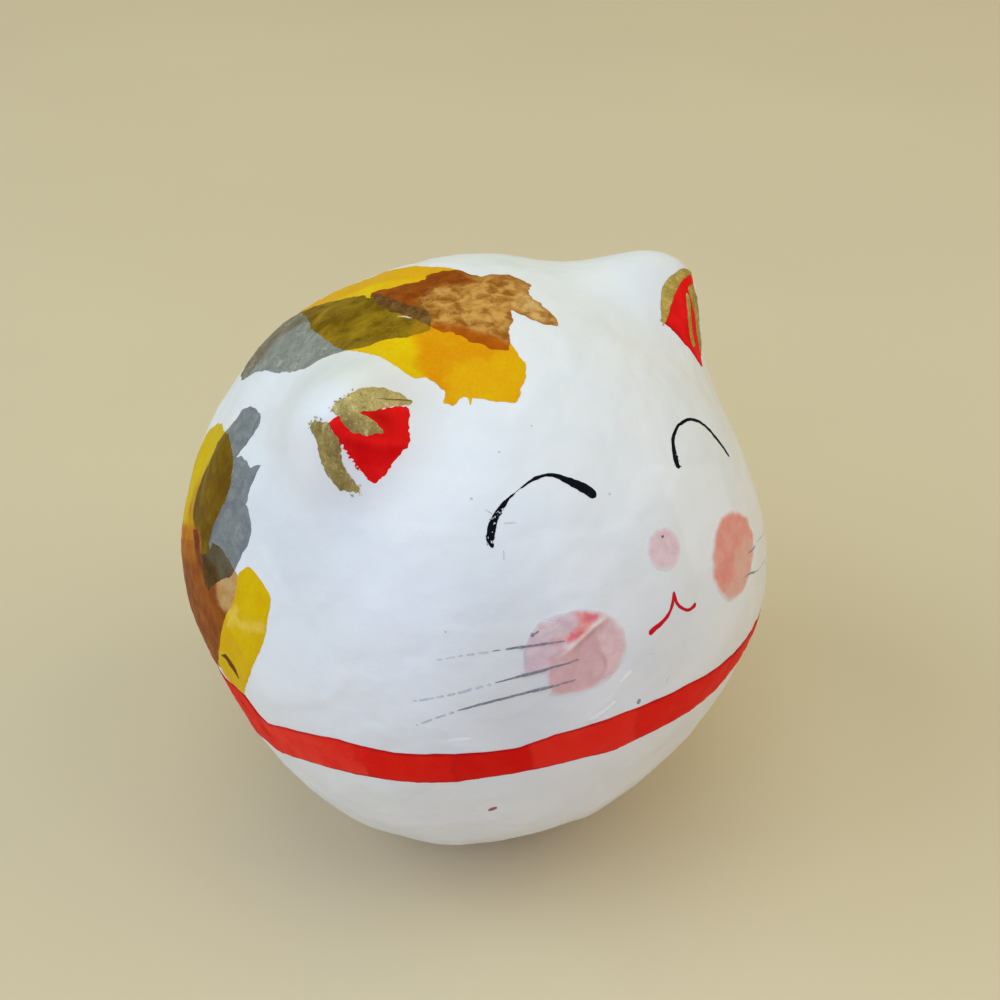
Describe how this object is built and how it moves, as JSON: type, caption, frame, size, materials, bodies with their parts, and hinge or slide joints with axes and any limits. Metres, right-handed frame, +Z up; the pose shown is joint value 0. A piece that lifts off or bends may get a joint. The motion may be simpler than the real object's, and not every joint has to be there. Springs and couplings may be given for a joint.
{
  "type": "papier-mache cat",
  "caption": "Round papier-mache cat ornament with pinched-up ears, a red paper collar strip and torn tissue patches, standing on its flattened underside.",
  "frame": {"origin": "centre of the flattened underside that the cat stands on", "axes": "+Z up, the face looks along -Y, the cat's left is +X"},
  "size_m": [0.0999, 0.1001, 0.098],
  "materials": {
    "white_paper": "white paper laid up in scraps, satin from paste and varnish",
    "red_strip": "red paper strip in short lengths, satin",
    "tissue_scraps": "torn yellow, grey and brown tissue, darker where sheets overlap, satin",
    "red_lining": "torn red tissue, satin",
    "pink_tissue": "pale pink tissue, slightly see-through, satin"
  },
  "bodies": {
    "root": {"cat_body": "white_paper", "collar_strip": "red_strip", "crown_patch": "tissue_scraps", "flank_patch": "tissue_scraps", "ear_lining_right": "red_lining", "ear_lining_left": "red_lining", "cheek_right": "pink_tissue", "cheek_left": "pink_tissue", "nose": "pink_tissue"}
  },
  "joints": []
}
